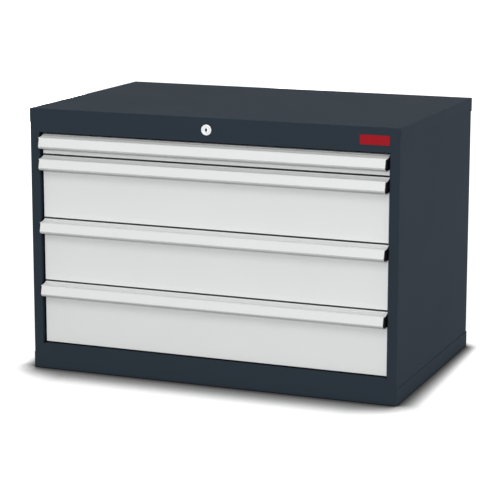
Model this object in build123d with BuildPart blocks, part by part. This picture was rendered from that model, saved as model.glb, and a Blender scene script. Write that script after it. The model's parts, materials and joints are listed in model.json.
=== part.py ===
from build123d import *
from math import atan2, cos, degrees, radians, sin
import os

# Low drawer cabinet of folded sheet steel, four drawers on ball runners, one central lock.
# Millimetres. X is across the front, +Y runs to the back, +Z is up.
# The origin is the centre of the casing's footprint, on the floor.

# Casing
case_width = 900.0
case_depth = 577.0
sheet = 1.2
bend_radius = 2.0
corner_relief = 1.0
seam_gap = 0.3
stile_width = 23.0
fascia_height = 55.0
rail_height = 61.0
return_depth = 18.0
rear_flange = 20.0

# Drawer fronts, from the top one down
front_pitches = [50.0, 150.0, 150.0, 150.0]
front_gap = 4.0
sill_gap = 2.5
head_gap = 5.5
front_side_gap = 3.4
front_recess = 11.0
front_sheet = 1.2
front_depth = 15.0
front_bend_radius = 1.5

# Handle rails: a dished top, a leaning face with grooves for a label strip, and a short lip turned in below
handle_sheet = 1.6
handle_drop = 1.5
handle_reach = 22.5
handle_top_fall = 4.0
handle_top_sag = 1.5
handle_face_lean = 5.6
handle_face_height = 22.0
handle_lip_reach = 5.0
handle_lip_drop = 4.0
handle_flange_height = 25.0
label_groove_width = 0.8
label_groove_depth = 0.8
label_groove_margin = 0.6
cap_thickness = 2.0
cap_depth_below_face = 5.0
cap_foot_setback = 6.0
handle_screw_count = 4
handle_screw_inset = 60.0
handle_screw_drop = 19.0

# Columns and runners
column_setback = 1.2
column_sheet = 1.5
column_width = 40.0
slot_width = 5.6
slot_height = 14.0
slot_pitch = 25.0
slots_per_runner = 3
runner_sheet = 1.2
runner_thickness = 13.0
runner_half_height = 18.0
runner_rise = 21.0
runner_front_gap = 3.0
runner_end_gap = 2.0
race_gap = 3.4
outer_flange = 10.0
middle_setback = 3.4
middle_flange = 7.8
inner_flange = 7.4
ball_clearance = 0.3
cage_sheet = 0.8
cage_width = 5.0
cage_end_gap = 5.0
ball_spacing = 40.0
column_inset = 27.0

# Drawer trays
tray_sheet = 1.0
tray_drop = 12.0
rear_space = 46.0
divider_slot_width = 3.0
divider_slot_margin = 9.0
divider_slot_pitch = 50.0
catch_width = 24.0
catch_reach = 20.0
catch_drop = 18.0
catch_below_rim = 2.0

# Fasteners
screw_radius = 1.75
screw_head_radius = 3.5
screw_head = 1.4
screw_clearance = 0.15
bolt_radius = 2.5
bolt_head_radius = 4.5
bolt_head = 1.5
nut_radius = 4.8
nut_thickness = 4.0
rivet_head = 0.9
rivet_tail_radius = 3.0
rivet_tail = 3.0
rivet_count = 4
rivet_inset = 60.0

# Lock and locking gear
lock_x = -4.0
lock_bezel_radius = 12.5
lock_bezel_proud = 3.0
lock_bezel_taper = 0.8
lock_barrel_radius = 10.5
lock_barrel_length = 24.0
lock_plug_radius = 8.5
lock_running_clearance = 0.05
lock_fit_clearance = 0.1
lock_nut_radius = 16.0
lock_nut_thickness = 4.0
keyhole_width = 2.2
keyhole_height = 10.0
keyhole_eye_radius = 2.8
keyhole_depth = 14.0
plug_tail = 2.0
shaft_radius = 4.0
crank_radius = 12.0
crank_turn = 90.0
crank_arm = 4.0
crank_boss_radius = 6.0
crank_pin_radius = 3.0
crank_gap = 3.0
pin_overhang = 2.0
bar_width = 30.0
bar_thickness = 3.0
bar_back_gap = 10.0
bar_top_margin = 8.0
pin_slot_clearance = 0.75
hook_width = 12.0
hook_thickness = 4.0
hook_play = 4.0
hook_clearance = 3.0
hook_tooth = 16.0
hook_arm = 6.0
guide_wall = 5.0
guide_height = 16.0
guide_clearance = 0.5
guide_gap = 8.0
bracket_sheet = 2.0
bracket_width = 30.0
bracket_foot = 25.0
bracket_below_shaft = 12.0
bracket_setback = 12.0

# Name plate
plate_width = 68.0
plate_height = 21.5
plate_thickness = 1.0
plate_corner = 2.0
plate_edge_gap = 24.7
plate_drop = 17.7

# Heights of the front, worked out from the floor up
front_bottoms = []
height_below = rail_height + sill_gap
for pitch in reversed(front_pitches):
    front_bottoms.insert(0, height_below)
    height_below += pitch
front_tops = [bottom + pitch - front_gap for bottom, pitch in zip(front_bottoms, front_pitches)]
fascia_bottom = front_tops[0] + head_gap
case_height = fascia_bottom + fascia_height
lock_z = fascia_bottom + fascia_height / 2

# Planes of the casing
front_y = -case_depth / 2
rear_inside_y = case_depth / 2 - 2 * sheet
side_x = case_width / 2 - sheet
side_inside_x = side_x - sheet
opening_x = side_x - stile_width

# Planes of the drawers and their runners
face_y = front_y + front_recess
face_x = opening_x - front_side_gap
column_x = opening_x + column_setback
tray_x = column_x - runner_thickness
tray_front_y = face_y + front_sheet
tray_back_y = rear_inside_y - rear_space
runner_front_y = face_y + front_depth + runner_front_gap
runner_back_y = tray_back_y - runner_end_gap
runner_length = runner_back_y - runner_front_y
front_column_y = runner_front_y + column_inset
rear_column_y = runner_back_y - column_inset
fixing_ys = (front_column_y, rear_column_y)
runner_centres = [bottom + runner_rise for bottom in front_bottoms]
middle_half_height = runner_half_height - runner_sheet - race_gap
inner_half_height = middle_half_height - runner_sheet - race_gap
ball_radius = race_gap / 2 - ball_clearance

# Places of the locking gear
crank_swing = radians(crank_turn / 2)
pin_x = lock_x - crank_radius * cos(crank_swing)
pin_z = lock_z - crank_radius * sin(crank_swing)
bar_lift = 2 * crank_radius * sin(crank_swing)
bar_x = lock_x - crank_radius * (1 + cos(crank_swing)) / 2
bar_back_y = rear_inside_y - bar_back_gap
bar_front_y = bar_back_y - bar_thickness
crank_back_y = bar_front_y - crank_gap
catch_tops = [top - tray_drop - catch_below_rim for top in front_tops]
hook_tops = [top - catch_drop - hook_clearance for top in catch_tops]

os.makedirs("parts", exist_ok=True)


def save(piece, label):
    piece.part.label = label
    export_step(piece.part, f"parts/{label}.step")


def facing_y(y):
    """Plane seen from the front, local x along X and local y along Z, at depth y."""
    return Plane(origin=(0, y, 0), x_dir=(1, 0, 0), z_dir=(0, -1, 0))


def facing_x(x):
    """Plane seen from the right, local x along Y and local y along Z, at distance x."""
    return Plane(origin=(x, 0, 0), x_dir=(0, 1, 0), z_dir=(1, 0, 0))


def rivet_places():
    """Places of the rear panel's rivets, about its middle."""
    rows = (case_height - 2 * rivet_inset) / (rivet_count - 1)
    return GridLocations(2 * side_x - rear_flange, rows, 2, rivet_count)


def handle_screw_places():
    """Places of a handle rail's screws, about its middle."""
    spacing = 2 * (face_x - handle_screw_inset) / (handle_screw_count - 1)
    return GridLocations(spacing, 0, handle_screw_count, 1)


def folded(points, thickness):
    """Outline of a sheet folded along the points, with its thickness laid to their left."""
    outer = [Vector(*point) for point in points]
    ahead = [(end - start).normalized() for start, end in zip(outer, outer[1:])]
    inner = []
    for point, before, after in zip(outer, ahead[:1] + ahead, ahead + ahead[-1:]):
        bisector = Vector(-before.Y - after.Y, before.X + after.X)
        inner.append(point + bisector * (thickness / (1 + before.dot(after))))
    return outer, inner


def folded_outline(points, thickness):
    """Draws that outline with sharp folds."""
    outer, inner = folded(points, thickness)
    Polyline(*outer, *reversed(inner), close=True)


def folded_tray(front_height):
    """Tray with its floor at Z = 0: a high front wall, mitred down to lower side and rear skirts."""
    skirt = front_height - stile_width
    with BuildPart() as tray:
        with BuildSketch():
            Rectangle(case_width, case_depth)
        extrude(amount=front_height)
        folds = tray.edges().group_by(Axis.Z)[0] + tray.edges().filter_by(Axis.Z)
        fillet(folds, bend_radius)
        offset(amount=-sheet, openings=tray.faces().sort_by(Axis.Z)[-1])
        # The side and rear skirts are lower than the front wall
        with BuildSketch(Plane.XY.offset(skirt)):
            with Locations((0, sheet)):
                Rectangle(case_width, case_depth)
        extrude(amount=front_height, mode=Mode.SUBTRACT)
        # The front wall's ends are cut at the mitre
        with BuildSketch(facing_y(front_y)):
            with BuildLine():
                Polyline(
                    (opening_x, front_height),
                    (side_x, skirt),
                    (case_width, skirt),
                    (case_width, front_height),
                    close=True,
                )
            make_face()
            mirror(about=Plane.YZ)
        extrude(amount=-return_depth, mode=Mode.SUBTRACT)
        # The front wall's free edge is folded back
        with BuildSketch(Plane.XY.offset(front_height - sheet)):
            with Locations((0, front_y)):
                Rectangle(2 * opening_x, return_depth, align=(Align.CENTER, Align.MIN))
        extrude(amount=sheet)
    return tray.part


cover_blank = folded_tray(fascia_height)
with BuildPart() as top_cover:
    with Locations((0, 0, case_height)):
        add(mirror(cover_blank, about=Plane.XY, mode=Mode.PRIVATE))
    with BuildSketch(facing_y(front_y)):
        with Locations((lock_x, lock_z)):
            Circle(lock_barrel_radius + lock_fit_clearance)
    extrude(amount=-return_depth, mode=Mode.SUBTRACT)
save(top_cover, "top_cover")

base_blank = folded_tray(rail_height)
with BuildPart() as base_tray:
    add(base_blank)
save(base_tray, "base_tray")

# Side panel: front return, stile, wall and rear flange are one folded sheet
side_section = [
    (opening_x, front_y + return_depth),
    (opening_x, front_y),
    (side_x, front_y),
    (side_x, rear_inside_y),
    (side_x - rear_flange, rear_inside_y),
]
with BuildPart() as right_side_panel:
    with BuildSketch(Plane.XY.offset(sheet + corner_relief)):
        with BuildLine():
            outer, inner = folded(side_section, sheet)
            FilletPolyline(*outer, radius=bend_radius)
            FilletPolyline(*inner, radius=bend_radius - sheet)
            Line(outer[0], inner[0])
            Line(outer[-1], inner[-1])
        make_face()
    extrude(amount=case_height - 2 * (sheet + corner_relief))
    # Mitres that leave room for the fascia above and the rail below
    with BuildSketch(facing_y(front_y)):
        with BuildLine():
            Polyline(
                (opening_x - fascia_height, fascia_bottom - fascia_height - seam_gap),
                (opening_x + fascia_height, case_height - seam_gap),
                (opening_x - fascia_height, case_height),
                close=True,
            )
        make_face()
        with BuildLine():
            Polyline(
                (opening_x - rail_height, 2 * rail_height + seam_gap),
                (opening_x + rail_height, seam_gap),
                (opening_x - rail_height, 0),
                close=True,
            )
        make_face()
    extrude(amount=-(return_depth + corner_relief), mode=Mode.SUBTRACT)
    with BuildSketch(facing_y(rear_inside_y)):
        with Locations((0, case_height / 2)):
            with rivet_places():
                Circle(screw_radius + screw_clearance)
    extrude(amount=2 * sheet, both=True, mode=Mode.SUBTRACT)
save(right_side_panel, "right_side_panel")

with BuildPart() as left_side_panel:
    add(mirror(right_side_panel.part, about=Plane.YZ, mode=Mode.PRIVATE))
save(left_side_panel, "left_side_panel")

with BuildPart() as rear_panel:
    with BuildSketch(facing_y(rear_inside_y + sheet)):
        with Locations((0, case_height / 2)):
            Rectangle(2 * (side_x - corner_relief), case_height - 2 * (sheet + corner_relief))
            with rivet_places():
                Circle(screw_radius + screw_clearance, mode=Mode.SUBTRACT)
    extrude(amount=sheet)
save(rear_panel, "rear_panel")

# Blind rivets: low head outside, shank through both sheets, upset tail inside
with BuildPart() as rear_panel_rivets:
    for y, length, radius in (
        (rear_inside_y + sheet + rivet_head, rivet_head, screw_head_radius),
        (rear_inside_y + sheet, 2 * sheet, screw_radius),
        (rear_inside_y - sheet, rivet_tail, rivet_tail_radius),
    ):
        with BuildSketch(facing_y(y)):
            with Locations((0, case_height / 2)):
                with rivet_places():
                    Circle(radius)
        extrude(amount=length)
save(rear_panel_rivets, "rear_panel_rivets")


def column(y):
    """Right-hand upright at depth y: a channel on the side wall, slotted at every runner."""
    with BuildPart() as upright:
        with BuildSketch(Plane.XY.offset(sheet)):
            with BuildLine():
                section = [
                    (side_inside_x, y + column_width / 2),
                    (column_x, y + column_width / 2),
                    (column_x, y - column_width / 2),
                    (side_inside_x, y - column_width / 2),
                ]
                folded_outline(section, column_sheet)
            make_face()
        extrude(amount=case_height - 2 * sheet)
        with BuildSketch(facing_x(column_x)):
            with Locations(*[(y, z) for z in runner_centres]):
                with GridLocations(0, slot_pitch, 1, slots_per_runner):
                    Rectangle(slot_width, slot_height)
        extrude(amount=column_sheet, mode=Mode.SUBTRACT)
    return upright


for place, y in (("front", front_column_y), ("rear", rear_column_y)):
    right_column = column(y)
    save(right_column, f"{place}_right_column")
    with BuildPart() as left_column:
        add(mirror(right_column.part, about=Plane.YZ, mode=Mode.PRIVATE))
    save(left_column, f"{place}_left_column")

# Bolts through the outer runners into the columns, with a nut behind each
bolt_places = [(y, z) for y in fixing_ys for z in runner_centres]
with BuildPart() as runner_bolts:
    with BuildSketch(facing_x(column_x - runner_sheet - bolt_head)):
        with Locations(*bolt_places):
            Circle(bolt_head_radius)
    extrude(amount=bolt_head)
    with BuildSketch(facing_x(column_x - runner_sheet)):
        with Locations(*bolt_places):
            Circle(bolt_radius)
    extrude(amount=runner_sheet + column_sheet + nut_thickness)
    with BuildSketch(facing_x(column_x + column_sheet)):
        with Locations(*bolt_places):
            RegularPolygon(nut_radius, 6)
            Circle(bolt_radius + screw_clearance, mode=Mode.SUBTRACT)
    extrude(amount=nut_thickness)
    mirror(about=Plane.YZ)
save(runner_bolts, "runner_bolts")


def runner_pair(root_x, flange_x, centre, half_height, hole_radius=0.0, hole_ys=()):
    """Left and right channel sections with the web at root_x and flanges that run to flange_x."""
    section = [
        (flange_x, centre + half_height),
        (root_x, centre + half_height),
        (root_x, centre - half_height),
        (flange_x, centre - half_height),
    ]
    if flange_x < root_x:
        section.reverse()
    with BuildPart() as runners:
        with BuildSketch(facing_y(runner_back_y)):
            with BuildLine():
                folded_outline(section, runner_sheet)
            make_face()
        extrude(amount=runner_length)
        if hole_ys:
            with BuildSketch(facing_x(root_x)):
                with Locations(*[(y, centre) for y in hole_ys]):
                    Circle(hole_radius)
            extrude(amount=runner_sheet, both=True, mode=Mode.SUBTRACT)
        mirror(about=Plane.YZ)
    return runners


def ball_cages(centre, ball_x, ball_height):
    """Strips with a row of balls, above and below the runner's centre, on both sides."""
    length = runner_length / 2 - 2 * cage_end_gap
    ball_count = int(length // ball_spacing)
    middle_y = runner_front_y + runner_length / 2
    with BuildPart() as cages:
        with BuildSketch(Plane((ball_x, middle_y, centre + ball_height - cage_sheet / 2))):
            Rectangle(cage_width, length)
            with GridLocations(0, ball_spacing, 1, ball_count):
                Circle(ball_radius + ball_clearance, mode=Mode.SUBTRACT)
        extrude(amount=cage_sheet)
        with Locations((ball_x, middle_y, centre + ball_height)):
            with GridLocations(0, ball_spacing, 1, ball_count):
                Sphere(ball_radius)
        mirror(about=Plane.XY.offset(centre))
        mirror(about=Plane.YZ)
    return cages


def drawer_tray(bottom, top, centre, catch_top):
    """Open box with slots for dividers in its sides, and a lipped catch folded out of its back."""
    screw_z = top + tray_drop - handle_screw_drop
    slot_count = int((tray_back_y - tray_front_y - 2 * divider_slot_pitch) // divider_slot_pitch)
    with BuildPart() as tray:
        with BuildSketch(Plane((0, tray_front_y, bottom))):
            Rectangle(2 * tray_x, tray_back_y - tray_front_y, align=(Align.CENTER, Align.MIN))
        extrude(amount=top - bottom)
        offset(amount=-tray_sheet, openings=tray.faces().sort_by(Axis.Z)[-1])
        with BuildSketch(facing_x(0)):
            with Locations(((tray_front_y + tray_back_y) / 2, (bottom + top) / 2)):
                with GridLocations(divider_slot_pitch, 0, slot_count, 1):
                    Rectangle(divider_slot_width, top - bottom - 2 * divider_slot_margin)
        extrude(amount=tray_x, both=True, mode=Mode.SUBTRACT)
        with BuildSketch(facing_x(bar_x)):
            with BuildLine():
                section = [
                    (tray_back_y + catch_reach, catch_top - catch_drop),
                    (tray_back_y + catch_reach, catch_top),
                    (tray_back_y - tray_sheet, catch_top),
                ]
                folded_outline(section, tray_sheet)
            make_face()
        extrude(amount=catch_width / 2, both=True)
        with BuildSketch(facing_y(tray_front_y)):
            with Locations((0, screw_z)):
                with handle_screw_places():
                    Circle(screw_radius + screw_clearance)
        extrude(amount=-tray_sheet, mode=Mode.SUBTRACT)
        with BuildSketch(facing_x(0)):
            with Locations(*[(y, centre) for y in fixing_ys]):
                Circle(screw_radius + screw_clearance)
        extrude(amount=tray_x, both=True, mode=Mode.SUBTRACT)
    return tray


def drawer_front(bottom, top):
    """Shallow pan of sheet steel, open at the back."""
    with BuildPart() as front:
        with BuildSketch(facing_y(face_y)):
            with Locations((0, bottom)):
                Rectangle(2 * face_x, top - bottom, align=(Align.CENTER, Align.MIN))
        extrude(amount=-front_depth)
        fillet(front.faces().sort_by(Axis.Y)[0].edges(), front_bend_radius)
        offset(amount=-front_sheet, openings=front.faces().sort_by(Axis.Y)[-1])
        with BuildSketch(facing_y(face_y)):
            with Locations((0, top - handle_screw_drop)):
                with handle_screw_places():
                    Circle(screw_radius + screw_clearance)
        extrude(amount=-front_sheet, mode=Mode.SUBTRACT)
    return front


def handle_corners(top):
    """Outer corners of the handle's section: at the front, along its upper edge and under its face."""
    root = (face_y, top - handle_drop)
    crease = (face_y - handle_reach, root[1] - handle_top_fall)
    foot = (crease[0] - handle_face_lean, crease[1] - handle_face_height)
    return root, crease, foot


def top_dish(root, crease, depth):
    """Draws the sliver between a straight top at this depth and the arc that sags below it."""
    start = Vector(root[0], root[1] - depth)
    end = Vector(crease[0], crease[1] - depth)
    Line(start, end)
    ThreePointArc(start, (start + end) / 2 - Vector(0, handle_top_sag), end)


def handle_rail(top):
    """Hooked strip on the drawer front: back flange, dished top, leaning face and lip."""
    root, crease, foot = handle_corners(top)
    face = Vector(*foot) - Vector(*crease)
    lean = degrees(atan2(handle_face_lean, handle_face_height))
    groove_inset = label_groove_margin + label_groove_width / 2
    with BuildPart() as rail:
        with BuildSketch(facing_x(cap_thickness - face_x)):
            with BuildLine():
                section = [
                    (face_y, root[1] - handle_flange_height),
                    root,
                    crease,
                    foot,
                    (foot[0] + handle_lip_reach, foot[1] - handle_lip_drop),
                ]
                folded_outline(section, handle_sheet)
            make_face()
            for inset in (groove_inset, face.length - groove_inset):
                with Locations(Vector(*crease) + face.normalized() * inset):
                    Rectangle(2 * label_groove_depth, label_groove_width, rotation=-lean, mode=Mode.SUBTRACT)
        extrude(amount=2 * (face_x - cap_thickness))
        # The top runs on over the end caps
        with BuildSketch(facing_x(-face_x)):
            with BuildLine():
                Polyline(
                    root,
                    crease,
                    (crease[0], crease[1] - handle_sheet),
                    (root[0], root[1] - handle_sheet),
                    close=True,
                )
            make_face()
            with BuildLine():
                top_dish(root, crease, handle_sheet)
            make_face()
        extrude(amount=2 * face_x)
        with BuildSketch(facing_x(-face_x)):
            with BuildLine():
                top_dish(root, crease, 0)
            make_face()
        extrude(amount=2 * face_x, mode=Mode.SUBTRACT)
        with BuildSketch(facing_y(face_y)):
            with Locations((0, top - handle_screw_drop)):
                with handle_screw_places():
                    Circle(screw_radius + screw_clearance)
        extrude(amount=handle_sheet, mode=Mode.SUBTRACT)
    return rail


def handle_end_caps(top):
    """Plates under the rail's top that close both of its ends."""
    root, crease, foot = handle_corners(top)
    ceiling = crease[1] - handle_sheet
    shoulder_y = crease[0] - handle_face_lean * handle_sheet / handle_face_height
    floor = foot[1] - cap_depth_below_face
    with BuildPart() as caps:
        with BuildSketch(facing_x(face_x - cap_thickness)):
            with BuildLine():
                Polyline(
                    (face_y, floor),
                    (face_y, root[1] - handle_sheet),
                    (crease[0], ceiling),
                    (shoulder_y, ceiling),
                    foot,
                    (foot[0] + cap_foot_setback, floor),
                    close=True,
                )
            make_face()
            with BuildLine():
                top_dish(root, crease, handle_sheet)
            make_face(mode=Mode.SUBTRACT)
        extrude(amount=cap_thickness)
        mirror(about=Plane.YZ)
    return caps


def drawer_screws(top, centre):
    """Screws from inside the tray through the front into the handle, and through the inner runners."""
    with BuildPart() as screws:
        for y, length, radius in (
            (tray_front_y + tray_sheet + screw_head, screw_head, screw_head_radius),
            (tray_front_y + tray_sheet, tray_sheet + front_sheet + handle_sheet, screw_radius),
        ):
            with BuildSketch(facing_y(y)):
                with Locations((0, top - handle_screw_drop)):
                    with handle_screw_places():
                        Circle(radius)
            extrude(amount=length)
        for x, length, radius in (
            (tray_x + runner_sheet, screw_head, screw_head_radius),
            (tray_x - tray_sheet, tray_sheet + runner_sheet, screw_radius),
        ):
            for y in fixing_ys:
                with BuildSketch(facing_x(x)):
                    with Locations((y, centre)):
                        Circle(radius)
                added = extrude(amount=length)
                mirror(added, about=Plane.YZ)
    return screws


for number, (bottom, top) in enumerate(zip(front_bottoms, front_tops), start=1):
    centre = bottom + runner_rise
    drawer = f"drawer_{number}"
    middle_x = column_x - middle_setback
    outer_runners = runner_pair(
        column_x,
        column_x - outer_flange,
        centre,
        runner_half_height,
        bolt_radius + screw_clearance,
        fixing_ys,
    )
    save(outer_runners, f"{drawer}_outer_runners")
    middle_runners = runner_pair(middle_x, middle_x - middle_flange, centre, middle_half_height)
    save(middle_runners, f"{drawer}_middle_runners")
    inner_runners = runner_pair(
        tray_x,
        tray_x + inner_flange,
        centre,
        inner_half_height,
        screw_radius + screw_clearance,
        fixing_ys,
    )
    save(inner_runners, f"{drawer}_inner_runners")
    # The balls run halfway along the overlap of the two flanges that they part
    outer_ball_x = (column_x - outer_flange + middle_x) / 2
    inner_ball_x = (middle_x - middle_flange + tray_x + inner_flange) / 2
    outer_ball_cages = ball_cages(centre, outer_ball_x, middle_half_height + race_gap / 2)
    save(outer_ball_cages, f"{drawer}_outer_ball_cages")
    inner_ball_cages = ball_cages(centre, inner_ball_x, inner_half_height + race_gap / 2)
    save(inner_ball_cages, f"{drawer}_inner_ball_cages")
    # The tray stands just clear of the fold along the front's lower edge
    tray = drawer_tray(bottom + front_bend_radius, top - tray_drop, centre, catch_tops[number - 1])
    save(tray, f"{drawer}_tray")
    save(drawer_front(bottom, top), f"{drawer}_front")
    save(handle_rail(top), f"{drawer}_handle_rail")
    save(handle_end_caps(top), f"{drawer}_handle_end_caps")
    save(drawer_screws(top, centre), f"{drawer}_screws")

# Lock: housing with a tapered bezel, plug with a keyhole, and the nut behind the fascia
plug_front_y = front_y - lock_bezel_proud
plug_back_y = front_y + lock_barrel_length + plug_tail
bore_radius = lock_plug_radius + lock_running_clearance
with BuildPart() as lock_housing:
    with BuildSketch(facing_y(front_y)):
        with Locations((lock_x, lock_z)):
            Circle(lock_bezel_radius)
    extrude(amount=lock_bezel_proud)
    rim = lock_housing.faces().sort_by(Axis.Y)[0].edges()
    chamfer(rim, lock_bezel_taper)
    with BuildSketch(facing_y(front_y)):
        with Locations((lock_x, lock_z)):
            Circle(lock_barrel_radius)
    extrude(amount=-lock_barrel_length)
    with BuildSketch(facing_y(plug_front_y)):
        with Locations((lock_x, lock_z)):
            Circle(bore_radius)
    extrude(amount=-(lock_bezel_proud + lock_barrel_length), mode=Mode.SUBTRACT)
save(lock_housing, "lock_housing")

with BuildPart() as lock_nut:
    with BuildSketch(facing_y(front_y + sheet)):
        with Locations((lock_x, lock_z)):
            RegularPolygon(lock_nut_radius, 6)
            Circle(lock_barrel_radius + lock_fit_clearance, mode=Mode.SUBTRACT)
    extrude(amount=-lock_nut_thickness)
save(lock_nut, "lock_nut")

with BuildPart() as lock_plug:
    with BuildSketch(facing_y(plug_front_y)):
        with Locations((lock_x, lock_z)):
            Circle(lock_plug_radius)
    extrude(amount=plug_front_y - plug_back_y)
    with BuildSketch(facing_y(plug_front_y)):
        with Locations((lock_x, lock_z)):
            Rectangle(keyhole_width, keyhole_height)
            Circle(keyhole_eye_radius)
    extrude(amount=-keyhole_depth, mode=Mode.SUBTRACT)
save(lock_plug, "lock_plug")

# Shaft from the plug to the back, with a crank whose pin lifts the locking bar
with BuildPart() as lock_shaft:
    with BuildSketch(facing_y(plug_back_y)):
        with Locations((lock_x, lock_z)):
            Circle(shaft_radius)
    extrude(amount=plug_back_y - crank_back_y)
    with BuildSketch(facing_y(crank_back_y)):
        with Locations((lock_x, lock_z), (pin_x, pin_z)):
            Circle(crank_boss_radius)
        make_hull()
    extrude(amount=crank_arm)
    with BuildSketch(facing_y(crank_back_y)):
        with Locations((pin_x, pin_z)):
            Circle(crank_pin_radius)
    extrude(amount=-(crank_gap + bar_thickness + pin_overhang))
save(lock_shaft, "lock_shaft")

# Bracket under the cover that carries the shaft's rear end
bracket_y = crank_back_y - crank_arm - bracket_setback
with BuildPart() as shaft_bracket:
    with BuildSketch(facing_x(lock_x)):
        with BuildLine():
            section = [
                (bracket_y, lock_z - bracket_below_shaft),
                (bracket_y, case_height - sheet),
                (bracket_y - bracket_foot, case_height - sheet),
            ]
            folded_outline(section, bracket_sheet)
        make_face()
    extrude(amount=bracket_width / 2, both=True)
    with BuildSketch(facing_y(bracket_y)):
        with Locations((lock_x, lock_z)):
            Circle(shaft_radius + lock_running_clearance)
    extrude(amount=bracket_sheet, both=True, mode=Mode.SUBTRACT)
save(shaft_bracket, "shaft_bracket")

# Locking bar: a flat upright with a slot for the crank's pin and a hook behind every drawer
bar_top = pin_z + crank_pin_radius + pin_slot_clearance + bar_top_margin
lower_guide_z = hook_tops[-1] - hook_tooth - hook_arm - guide_gap - guide_height
upper_guide_z = hook_tops[0] + bar_lift + guide_gap
bar_bottom = lower_guide_z - bar_lift - guide_gap
tooth_back_y = tray_back_y + catch_reach - tray_sheet - hook_play
pin_slot_height = 2 * (crank_pin_radius + pin_slot_clearance)
pin_slot_length = pin_slot_height + crank_radius * (1 - cos(crank_swing))
with BuildPart() as locking_bar:
    with BuildSketch(facing_y(bar_back_y)):
        with Locations((bar_x, bar_bottom)):
            Rectangle(bar_width, bar_top - bar_bottom, align=(Align.CENTER, Align.MIN))
        with Locations((bar_x, pin_z)):
            Rectangle(pin_slot_length, pin_slot_height, mode=Mode.SUBTRACT)
    extrude(amount=bar_thickness)
    for hook_top in hook_tops:
        arm_top = hook_top - hook_tooth
        with BuildSketch(facing_x(bar_x)):
            with BuildLine():
                Polyline(
                    (bar_front_y, arm_top),
                    (tooth_back_y, arm_top),
                    (tooth_back_y, hook_top),
                    (tooth_back_y - hook_thickness, hook_top),
                    (tooth_back_y - hook_thickness, arm_top - hook_arm),
                    (bar_front_y, arm_top - hook_arm),
                    close=True,
                )
            make_face()
        extrude(amount=hook_width / 2, both=True)
save(locking_bar, "locking_bar")

# Blocks on the rear panel that guide the bar
with BuildPart() as bar_guides:
    for z in (lower_guide_z, upper_guide_z):
        with BuildSketch(Plane((bar_x, rear_inside_y, z))):
            Rectangle(
                bar_width + 2 * guide_wall,
                rear_inside_y - bar_front_y + guide_wall,
                align=(Align.CENTER, Align.MAX),
            )
            with Locations((0, bar_back_y + guide_clearance - rear_inside_y)):
                Rectangle(
                    bar_width + 2 * guide_clearance,
                    bar_thickness + 2 * guide_clearance,
                    align=(Align.CENTER, Align.MAX),
                    mode=Mode.SUBTRACT,
                )
        extrude(amount=guide_height)
save(bar_guides, "bar_guides")

with BuildPart() as name_plate:
    with BuildSketch(facing_y(front_y)):
        with Locations((case_width / 2 - plate_edge_gap, case_height - plate_drop)):
            with Locations((-plate_width / 2, -plate_height / 2)):
                RectangleRounded(plate_width, plate_height, plate_corner)
    extrude(amount=plate_thickness)
save(name_plate, "name_plate")
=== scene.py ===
import json
from math import cos, radians, sin

import bpy
from mathutils import Matrix, Vector


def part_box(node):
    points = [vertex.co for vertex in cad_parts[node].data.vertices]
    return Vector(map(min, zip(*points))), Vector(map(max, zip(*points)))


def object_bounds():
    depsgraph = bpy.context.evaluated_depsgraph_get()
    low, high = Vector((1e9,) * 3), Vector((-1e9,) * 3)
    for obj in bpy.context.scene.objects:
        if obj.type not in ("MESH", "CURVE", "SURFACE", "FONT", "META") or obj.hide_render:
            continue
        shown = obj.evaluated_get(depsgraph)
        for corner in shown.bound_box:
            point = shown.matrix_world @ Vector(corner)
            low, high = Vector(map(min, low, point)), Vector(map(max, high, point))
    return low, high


# A low drawer cabinet: dark powder-coated casing, light fronts with handle rails, zinc-plated trays.
# Metres, in the frame of the part: +X to the right seen from the front, +Y to the back, +Z up.
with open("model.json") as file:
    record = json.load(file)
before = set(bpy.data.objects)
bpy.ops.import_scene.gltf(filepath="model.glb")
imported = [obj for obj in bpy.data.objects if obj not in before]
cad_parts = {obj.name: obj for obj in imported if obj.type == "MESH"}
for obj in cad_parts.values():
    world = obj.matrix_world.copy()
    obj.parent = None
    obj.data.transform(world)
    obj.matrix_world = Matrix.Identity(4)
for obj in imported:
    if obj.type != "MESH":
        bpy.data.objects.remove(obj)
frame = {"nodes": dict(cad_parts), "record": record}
nodes = frame["nodes"]
cad_low, cad_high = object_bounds()
drawer_count = 4

# Colours, as linear red, green and blue
anthracite = (0.0224, 0.0318, 0.0428)
anthracite_worn = (0.050, 0.062, 0.075)
light_grey = (0.705, 0.720, 0.715)
light_grey_worn = (0.800, 0.805, 0.800)
zinc_pale = (0.640, 0.650, 0.660)
zinc_deep = (0.500, 0.515, 0.530)
bright_pale = (0.690, 0.705, 0.715)
bright_deep = (0.540, 0.555, 0.565)
# Painted shade: near-black inside the keyhole
keyway_painted_shade = (0.003, 0.003, 0.003)
# Painted shade: the tones the two paints go to in narrow gaps and inner corners
dark_painted_shade = (0.002, 0.002, 0.002)
grey_painted_shade = (0.012, 0.012, 0.012)
plastic_black = (0.0040, 0.0040, 0.0045)
plastic_grey = (0.0110, 0.0110, 0.0115)
plate_red = (0.300, 0.004, 0.011)
plate_deep_red = (0.250, 0.003, 0.008)
white = (1.0, 1.0, 1.0)
black = (0.0, 0.0, 0.0)

# How far the painted shade of narrow gaps, inner corners and the keyhole reaches
gap_shade_reach = 0.020
casing_corner_shade_reach = 0.025
front_corner_shade_reach = 0.006
keyway_shade_reach = 0.010

# Roundings of sharp edges
rail_rounding = 0.0006
cap_rounding = 0.0004
bezel_rounding = 0.0003
plug_rounding = 0.0002
plate_rounding = 0.0003
rounding_segments = 2
sharp_angle = radians(30)
weld_distance = 0.00001

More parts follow.
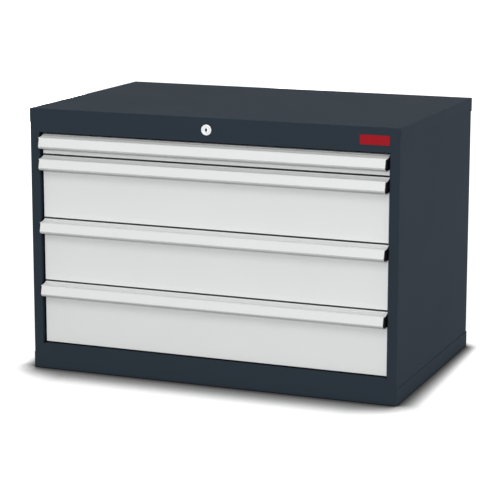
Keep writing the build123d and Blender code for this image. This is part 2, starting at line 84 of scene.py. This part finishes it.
# Studio: light from the sky, the floor, and how far the cabinet's contact shadow reaches on each side
sky_level = 0.30
floor_size = 40.0
floor_grey = (0.34, 0.34, 0.34)
floor_shading = (0.50, 0.50, 0.50)
floor_glow = 0.78
far_floor_glow = 1.0
near_floor = 1.0
far_floor = 3.0
front_shadow = 0.128
corner_shadow = 0.070
right_shadow = 0.058
rear_shadow = 0.034
left_shadow = 0.038
left_rear_shadow = 0.075
left_shadow_growth = 0.25
shadow_corner_inset = 0.09
shadow_front_inset = 0.05
shadow_outset = 0.02
contact_power = 4.7

# Camera
view_target = Vector((0.0, 0.0, 0.3102))
view_distance = 4.573
view_yaw = radians(21.59)
view_pitch = radians(11.10)
view_roll = radians(0.10)
view_lens = 137.124
view_sensor = 36.0
view_shift = (-0.01102, -0.03814)


def feed(tree, socket, value):
    """Set a socket to a value, or link it to another node's output."""
    if isinstance(value, bpy.types.NodeSocket):
        tree.links.new(value, socket)
    else:
        socket.default_value = value


def shader(tree, kind, settings=None, **inputs):
    """Add a shader node. Spaces in an input's name are written as underscores."""
    made = tree.nodes.new(kind)
    for name, value in (settings or {}).items():
        setattr(made, name, value)
    for name, value in inputs.items():
        feed(tree, made.inputs[name.replace("_", " ")], value)
    return made


def compute(tree, operation, first, second=0.0):
    """Number made from two numbers."""
    made = shader(tree, "ShaderNodeMath", {"operation": operation})
    feed(tree, made.inputs[0], first)
    feed(tree, made.inputs[1], second)
    return made.outputs[0]


def combine(tree, operation, first, second=(0.0, 0.0, 0.0)):
    """Outputs of a node that works on two vectors."""
    made = shader(tree, "ShaderNodeVectorMath", {"operation": operation})
    feed(tree, made.inputs[0], first)
    feed(tree, made.inputs[1], second)
    return made.outputs


def average(tree, first, share, second):
    """Mean of two values, in which the first has this share."""
    first_part = compute(tree, "MULTIPLY", first, share)
    second_part = compute(tree, "MULTIPLY", second, 1.0 - share)
    return compute(tree, "ADD", first_part, second_part)


def noise(tree, scale, detail=2.0, stretch=(1.0, 1.0, 1.0)):
    """Noise fixed to the piece, with about this many blotches per metre."""
    place = shader(tree, "ShaderNodeTexCoord").outputs["Object"]
    stretched = shader(tree, "ShaderNodeMapping", Vector=place, Scale=stretch).outputs["Vector"]
    return shader(tree, "ShaderNodeTexNoise", Vector=stretched, Scale=scale, Detail=detail).outputs[0]


def spread(tree, value, low=0.0, high=1.0, start=0.3, end=0.7):
    """Stretch a value between start and end to the range from low to high."""
    made = shader(
        tree,
        "ShaderNodeMapRange",
        Value=value,
        From_Min=start,
        From_Max=end,
        To_Min=low,
        To_Max=high,
    )
    return made.outputs[0]


def opaque(colour):
    return (*colour, 1.0)


def scaled(colour, factor):
    return tuple(channel * factor for channel in colour)


def blend(tree, factor, first, second):
    """Colour that goes from first to second as the factor goes from 0 to 1."""
    made = shader(tree, "ShaderNodeMix", {"data_type": "RGBA"}, Factor=factor)
    feed(tree, made.inputs[6], first)
    feed(tree, made.inputs[7], second)
    return made.outputs[2]


def worn_edges(tree, radius):
    """1 on sharp edges, 0 on open faces, broken up in patches."""
    rounded = shader(tree, "ShaderNodeBevel", {"samples": 4}, Radius=radius).outputs["Normal"]
    plain = shader(tree, "ShaderNodeNewGeometry").outputs["Normal"]
    aligned = combine(tree, "DOT_PRODUCT", rounded, plain)["Value"]
    edge = spread(tree, aligned, low=1.0, high=0.0, start=0.72, end=0.99)
    patches = spread(tree, noise(tree, scale=60.0, detail=3.0), low=0.2)
    return compute(tree, "MULTIPLY", edge, patches)


def openness(tree, reach):
    """1 on open faces, less in grooves and holes narrower than the reach."""
    return shader(tree, "ShaderNodeAmbientOcclusion", {"samples": 8}, Distance=reach).outputs["AO"]


def start_material(name):
    """New material with an empty tree and its surface shader."""
    material = bpy.data.materials.new(name)
    material.use_nodes = True
    tree = material.node_tree
    tree.nodes.clear()
    surface = shader(tree, "ShaderNodeBsdfPrincipled")
    output = shader(tree, "ShaderNodeOutputMaterial")
    tree.links.new(surface.outputs[0], output.inputs["Surface"])
    return material, tree, surface


def bump(tree, surface, height, strength, depth):
    made = shader(tree, "ShaderNodeBump", Height=height, Strength=strength, Distance=depth)
    tree.links.new(made.outputs["Normal"], surface.inputs["Normal"])


def powder_coat(name, colour, worn, painted_shade_colour, corner_shade_reach, variation, roughness, gloss):
    """Baked powder: slow clouds of tone, a pebbled surface, thinner on sharp edges, painted shade in gaps and
    inner corners.
    """
    material, tree, surface = start_material(name)
    clouds = noise(tree, scale=5.0, detail=3.0)
    pebbles = noise(tree, scale=900.0)
    tone = average(tree, clouds, 0.7, pebbles)
    dark = opaque(scaled(colour, 1.0 - variation))
    pale = opaque(scaled(colour, 1.0 + variation))
    paint = blend(tree, spread(tree, tone), dark, pale)
    thin = compute(tree, "MULTIPLY", worn_edges(tree, radius=0.0012), 0.10)
    edged = blend(tree, thin, paint, opaque(worn))
    # Painted shade: the paint darkens in narrow gaps and inner corners, where shade falls
    gap_shade = spread(tree, openness(tree, gap_shade_reach), low=1.0, high=0.0, start=0.06, end=0.32)
    corner_shade = spread(tree, openness(tree, corner_shade_reach), low=0.95, high=0.0, start=0.30, end=0.60)
    painted_shade = compute(tree, "MAXIMUM", gap_shade, corner_shade)
    feed(tree, surface.inputs["Base Color"], blend(tree, painted_shade, edged, opaque(painted_shade_colour)))
    feed(tree, surface.inputs["Roughness"], spread(tree, clouds, low=roughness - 0.02, high=roughness + 0.02))
    surface.inputs["Specular IOR Level"].default_value = gloss
    waves = compute(tree, "MULTIPLY", noise(tree, scale=140.0), 0.5)
    bump(tree, surface, compute(tree, "ADD", pebbles, waves), strength=0.25, depth=0.00012)
    return material


def zinc_plate(name):
    """Zinc-plated sheet: soft crystal patches and fine rolling lines along its length."""
    material, tree, surface = start_material(name)
    place = shader(tree, "ShaderNodeTexCoord").outputs["Object"]
    crystals = shader(tree, "ShaderNodeTexVoronoi", Vector=place, Scale=75.0).outputs["Color"]
    patch = shader(tree, "ShaderNodeSeparateColor", Color=crystals).outputs[0]
    clouds = noise(tree, scale=9.0, detail=4.0)
    tone = average(tree, patch, 0.35, clouds)
    feed(tree, surface.inputs["Base Color"], blend(tree, tone, opaque(zinc_deep), opaque(zinc_pale)))
    feed(tree, surface.inputs["Roughness"], spread(tree, tone, low=0.56, high=0.46))
    surface.inputs["Metallic"].default_value = 1.0
    lines = noise(tree, scale=1.0, stretch=(1500.0, 30.0, 1500.0))
    bump(tree, surface, lines, strength=0.12, depth=0.00005)
    return material


def bright_metal(name):
    """Turned and polished metal: fine rings about the lock's axis, painted shade inside the keyhole."""
    material, tree, surface = start_material(name)
    low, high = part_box("lock_housing")
    place = shader(tree, "ShaderNodeTexCoord").outputs["Object"]
    away = combine(tree, "SUBTRACT", place, (low + high) / 2)[0]
    across_axis = combine(tree, "MULTIPLY", away, (1.0, 0.0, 1.0))[0]
    radius = combine(tree, "LENGTH", across_axis)["Value"]
    ring_noise = shader(tree, "ShaderNodeTexNoise", {"noise_dimensions": "1D"}, W=radius, Scale=2600.0)
    rings = ring_noise.outputs[0]
    tone = average(tree, rings, 0.5, noise(tree, scale=160.0))
    polished = blend(tree, spread(tree, tone), opaque(bright_deep), opaque(bright_pale))
    # Painted shade: near-black inside the keyhole and the lock's narrow grooves
    in_lock = compute(tree, "LESS_THAN", radius, (high.x - low.x) / 2)
    painted_shade = spread(tree, openness(tree, keyway_shade_reach), low=1.0, high=0.0, start=0.55, end=0.92)
    keyway_shade = compute(tree, "MULTIPLY", in_lock, painted_shade)
    feed(tree, surface.inputs["Base Color"], blend(tree, keyway_shade, polished, opaque(keyway_painted_shade)))
    feed(tree, surface.inputs["Roughness"], spread(tree, tone, low=0.36, high=0.28))
    surface.inputs["Metallic"].default_value = 1.0
    bump(tree, surface, rings, strength=0.10, depth=0.00003)
    return material


def moulded_plastic(name, colour, rubbed_colour, grain_scale, roughness, gloss):
    """Moulded plastic with a fine grain and soft mottling, another tone where it has been rubbed."""
    material, tree, surface = start_material(name)
    grain = noise(tree, scale=grain_scale, detail=3.0)
    clouds = noise(tree, scale=35.0, detail=3.0)
    mottling = compute(tree, "MULTIPLY", spread(tree, clouds), 0.4)
    mottled = blend(tree, mottling, opaque(colour), opaque(rubbed_colour))
    rubbed = compute(tree, "MULTIPLY", worn_edges(tree, radius=0.0008), 0.5)
    feed(tree, surface.inputs["Base Color"], blend(tree, rubbed, mottled, opaque(rubbed_colour)))
    feed(tree, surface.inputs["Roughness"], spread(tree, clouds, low=roughness - 0.04, high=roughness + 0.04))
    surface.inputs["Specular IOR Level"].default_value = gloss
    bump(tree, surface, grain, strength=0.15, depth=0.00005)
    return material


finishes = {
    "anthracite_paint": powder_coat(
        "anthracite_paint",
        colour=anthracite,
        worn=anthracite_worn,
        painted_shade_colour=dark_painted_shade,
        corner_shade_reach=casing_corner_shade_reach,
        variation=0.03,
        roughness=0.80,
        gloss=0.07,
    ),
    "light_grey_paint": powder_coat(
        "light_grey_paint",
        colour=light_grey,
        worn=light_grey_worn,
        painted_shade_colour=grey_painted_shade,
        corner_shade_reach=front_corner_shade_reach,
        variation=0.012,
        roughness=0.60,
        gloss=0.20,
    ),
    "zinc_steel": zinc_plate("zinc_steel"),
    "bright_metal": bright_metal("bright_metal"),
    "black_plastic": moulded_plastic(
        "black_plastic",
        colour=plastic_black,
        rubbed_colour=plastic_grey,
        grain_scale=800.0,
        roughness=0.50,
        gloss=0.08,
    ),
    "red_plate": moulded_plastic(
        "red_plate",
        colour=plate_red,
        rubbed_colour=plate_deep_red,
        grain_scale=300.0,
        roughness=0.40,
        gloss=0.12,
    ),
}
for subpart in frame["record"]["subparts"]:
    piece = nodes[subpart["node"]]
    piece.data.materials.clear()
    piece.data.materials.append(finishes[subpart["material_slot"]])


def round_edges(piece, width):
    """Break the sharp edges of a piece with a small rounding."""
    weld = piece.modifiers.new("weld", "WELD")
    weld.merge_threshold = weld_distance
    rounding = piece.modifiers.new("rounding", "BEVEL")
    rounding.width = width
    rounding.segments = rounding_segments
    rounding.limit_method = "ANGLE"
    rounding.angle_limit = sharp_angle
    smooth = piece.modifiers.new("smooth", "WEIGHTED_NORMAL")
    smooth.keep_sharp = False


for drawer in range(1, drawer_count + 1):
    round_edges(nodes[f"drawer_{drawer}_handle_rail"], rail_rounding)
    round_edges(nodes[f"drawer_{drawer}_handle_end_caps"], cap_rounding)
round_edges(nodes["lock_housing"], bezel_rounding)
round_edges(nodes["lock_plug"], plug_rounding)
round_edges(nodes["name_plate"], plate_rounding)


def seen_directly(tree):
    """1 for rays that show a surface, straight or by mirror and glass, 0 for rays that light others."""
    path = shader(tree, "ShaderNodeLightPath").outputs
    mirrored = compute(tree, "MAXIMUM", path["Is Glossy Ray"], path["Is Transmission Ray"])
    return compute(tree, "MAXIMUM", path["Is Camera Ray"], mirrored)


def white_world():
    """White surroundings that light the cabinet less brightly than they look."""
    world = bpy.data.worlds.new("white_studio")
    world.use_nodes = True
    tree = world.node_tree
    tree.nodes.clear()
    level = spread(tree, seen_directly(tree), low=sky_level, high=1.0, start=0.0, end=1.0)
    sky = shader(tree, "ShaderNodeBackground", Color=opaque(white), Strength=level)
    output = shader(tree, "ShaderNodeOutputWorld")
    tree.links.new(sky.outputs[0], output.inputs["Surface"])
    bpy.context.scene.world = world


def contact_reach(tree, place):
    """Reach of the cabinet's contact shadow on the floor: far in front, less beside and behind it."""
    along = shader(tree, "ShaderNodeSeparateXYZ", Vector=place).outputs
    across = compute(tree, "ABSOLUTE", along["X"])
    corner_start = cad_high.x - shadow_corner_inset
    corner_end = cad_high.x + shadow_outset
    before = spread(tree, across, front_shadow, corner_shadow, corner_start, corner_end)
    right = spread(tree, along["Y"], right_shadow, rear_shadow, cad_low.y, cad_high.y)
    left = spread(tree, along["Y"], left_shadow, left_rear_shadow, cad_low.y, cad_low.y + left_shadow_growth)
    beside = spread(tree, along["X"], left, right, cad_low.x, cad_high.x)
    front_start = cad_low.y - shadow_outset
    front_end = cad_low.y + shadow_front_inset
    return spread(tree, along["Y"], before, beside, front_start, front_end)


def pale_floor():
    """White studio floor with a painted contact shadow where something stands close on it."""
    half = floor_size / 2
    corners = [(-half, -half, 0.0), (half, -half, 0.0), (half, half, 0.0), (-half, half, 0.0)]
    sheet = bpy.data.meshes.new("studio_floor")
    sheet.from_pydata(corners, [], [(0, 1, 2, 3)])
    floor = bpy.data.objects.new("studio_floor", sheet)
    bpy.context.scene.collection.objects.link(floor)
    material = bpy.data.materials.new("studio_floor")
    material.use_nodes = True
    tree = material.node_tree
    tree.nodes.clear()
    place = shader(tree, "ShaderNodeNewGeometry").outputs["Position"]
    reach = contact_reach(tree, place)
    # Painted contact shadow: the floor's shading and its glow both darken close to the cabinet
    near = shader(tree, "ShaderNodeAmbientOcclusion", {"samples": 16}, Distance=reach).outputs["AO"]
    contact = compute(tree, "POWER", near, contact_power)
    shade = blend(tree, contact, opaque(black), opaque(floor_shading))
    shaded = shader(tree, "ShaderNodeBsdfDiffuse", Color=shade)
    distance = combine(tree, "LENGTH", place)["Value"]
    level = spread(tree, distance, floor_glow, far_floor_glow, near_floor, far_floor)
    glow = shader(tree, "ShaderNodeEmission", Strength=compute(tree, "MULTIPLY", contact, level))
    shown = shader(tree, "ShaderNodeAddShader")
    tree.links.new(shaded.outputs[0], shown.inputs[0])
    tree.links.new(glow.outputs[0], shown.inputs[1])
    plain = shader(tree, "ShaderNodeBsdfDiffuse", Color=opaque(floor_grey))
    choice = shader(tree, "ShaderNodeMixShader", Fac=seen_directly(tree))
    tree.links.new(plain.outputs[0], choice.inputs[1])
    tree.links.new(shown.outputs[0], choice.inputs[2])
    output = shader(tree, "ShaderNodeOutputMaterial")
    tree.links.new(choice.outputs[0], output.inputs["Surface"])
    sheet.materials.append(material)


def soft_box(name, place, width, height, power):
    """Large soft lamp turned to the middle of the cabinet."""
    lamp = bpy.data.lights.new(name, "AREA")
    lamp.shape = "RECTANGLE"
    lamp.size = width
    lamp.size_y = height
    lamp.energy = power
    holder = bpy.data.objects.new(name, lamp)
    holder.location = place
    holder.rotation_euler = (view_target - Vector(place)).to_track_quat("-Z", "Y").to_euler()
    bpy.context.scene.collection.objects.link(holder)


def photo_camera():
    """Camera fitted to the photograph: from the right and a little above, with a long lens."""
    level = cos(view_pitch)
    forward = Vector((-sin(view_yaw) * level, cos(view_yaw) * level, -sin(view_pitch)))
    level_right = forward.cross(Vector((0.0, 0.0, 1.0))).normalized()
    level_up = level_right.cross(forward)
    right = cos(view_roll) * level_right + sin(view_roll) * level_up
    up = right.cross(forward)
    lens = bpy.data.cameras.new("photo_camera")
    lens.lens = view_lens
    lens.sensor_width = view_sensor
    lens.shift_x = view_shift[0]
    lens.shift_y = view_shift[1]
    camera = bpy.data.objects.new("photo_camera", lens)
    turned = Matrix((right, up, -forward)).transposed().to_4x4()
    camera.matrix_world = Matrix.Translation(view_target - view_distance * forward) @ turned
    bpy.context.scene.collection.objects.link(camera)
    bpy.context.scene.camera = camera


white_world()
pale_floor()
soft_box("overhead_softbox", place=(0.0, -0.3, 3.2), width=3.0, height=3.0, power=14.0)
soft_box("high_front_softbox", place=(0.8, -5.4, 4.9), width=4.8, height=2.6, power=140.0)
soft_box("key_softbox", place=(1.3, -8.0, 2.6), width=4.8, height=1.3, power=354.0)
soft_box("side_softbox", place=(5.0, 1.5, 1.3), width=3.0, height=1.6, power=114.0)
soft_box("rear_softbox", place=(-3.2, 4.2, 0.32), width=3.2, height=0.5, power=110.0)
photo_camera()
bpy.context.scene.view_settings.view_transform = "Standard"
